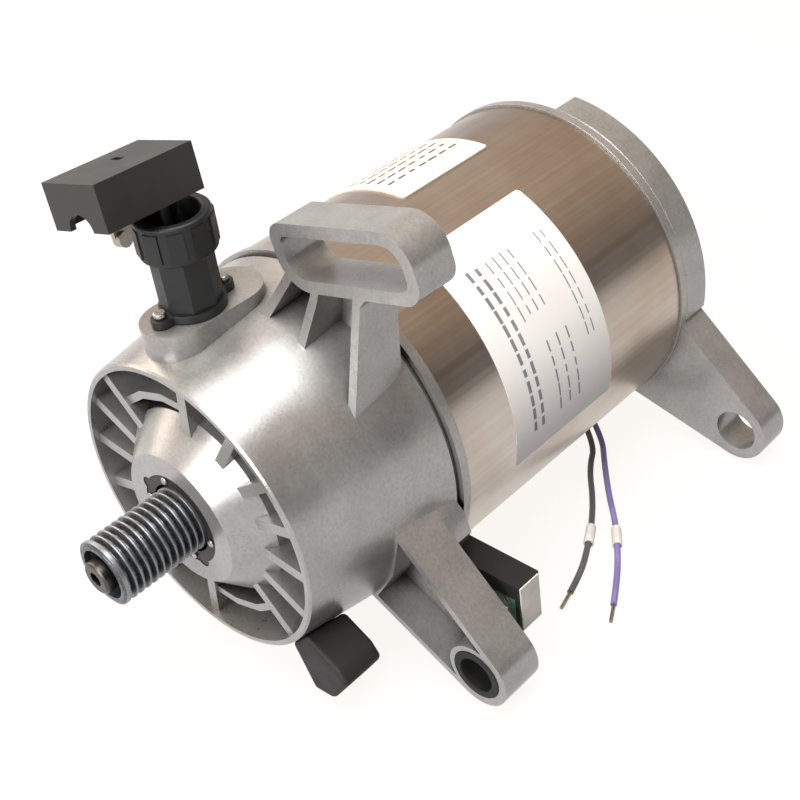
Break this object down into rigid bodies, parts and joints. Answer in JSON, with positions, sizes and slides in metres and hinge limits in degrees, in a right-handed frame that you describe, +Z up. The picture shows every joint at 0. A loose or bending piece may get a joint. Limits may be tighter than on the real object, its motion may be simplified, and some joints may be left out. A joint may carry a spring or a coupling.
{
  "type": "dc door motor",
  "caption": "DC motor of a lift door drive: ribbed die-cast end shield with pivot arms, steel yoke tube, ribbed belt pulley, cable gland with plug and encoder",
  "frame": {"origin": "centre of the free end of the shaft, at the mouth of its tapped hole", "axes": "+Y runs along the shaft from its free end back through the motor, +Z up, +X towards the pivot arms"},
  "size_m": [0.1419, 0.2085, 0.157],
  "materials": {
    "cast_aluminium": "as-cast satin",
    "rolled_steel": "rolled, lightly polished",
    "bright_steel": "turned and ground",
    "black_oxide_steel": "oiled black oxide",
    "black_plastic": "moulded, fine grain",
    "black_rubber": "moulded",
    "bearing_seal": "ground",
    "core_laminations": "stacked sheet",
    "enamelled_copper": "enamelled",
    "ferrite": "sintered",
    "carbon": "pressed graphite",
    "brass": "formed sheet",
    "phenolic": "machined sheet",
    "board_green": "solder mask",
    "socket_white": "moulded",
    "violet_pvc": "extruded",
    "grey_pvc": "extruded",
    "sleeve_white": "extruded",
    "tinned_copper": "tinned"
  },
  "bodies": {
    "stator": {"front_end_shield": "cast_aluminium", "tension_loop": "cast_aluminium", "yoke_tube": "rolled_steel", "rear_end_shield": "cast_aluminium", "front_bearing_outer": "bearing_seal", "rear_bearing_outer": "bearing_seal", "rear_wave_washer": "bright_steel", "front_circlip": "black_oxide_steel", "seal_ring": "black_plastic", "seal_rivets": "bright_steel", "field_magnets": "ferrite", "brush_plate": "phenolic", "brush_boxes": "brass", "brushes": "carbon", "brush_springs": "bright_steel", "tie_bolts": "bright_steel", "gland_flange": "black_plastic", "gland_body": "black_plastic", "gland_cap": "black_plastic", "gland_screws": "bright_steel", "plug_leads": "black_plastic", "plug_housing": "black_plastic", "plug_contacts": "tinned_copper", "rubber_buffer": "black_rubber", "pivot_bush": "black_plastic", "encoder_housing": "black_plastic", "encoder_board": "board_green", "encoder_socket": "socket_white", "lead_grommet": "black_rubber", "violet_lead": "violet_pvc", "violet_sleeve": "sleeve_white", "violet_strands": "tinned_copper", "grey_lead": "grey_pvc", "grey_sleeve": "sleeve_white", "grey_strands": "tinned_copper"},
    "rotor": {"rotor_shaft": "bright_steel", "drive_pulley": "black_oxide_steel", "front_bearing_inner": "bearing_seal", "rear_bearing_inner": "bearing_seal", "armature_core": "core_laminations", "armature_winding": "enamelled_copper", "commutator": "brass", "encoder_disc": "black_plastic"}
  },
  "joints": [
    {"name": "rotor_spin", "type": "hinge", "parent": "stator", "child": "rotor", "pos_m": [0, 0, 0], "axis": [0, 1, 0], "continuous": true}
  ]
}
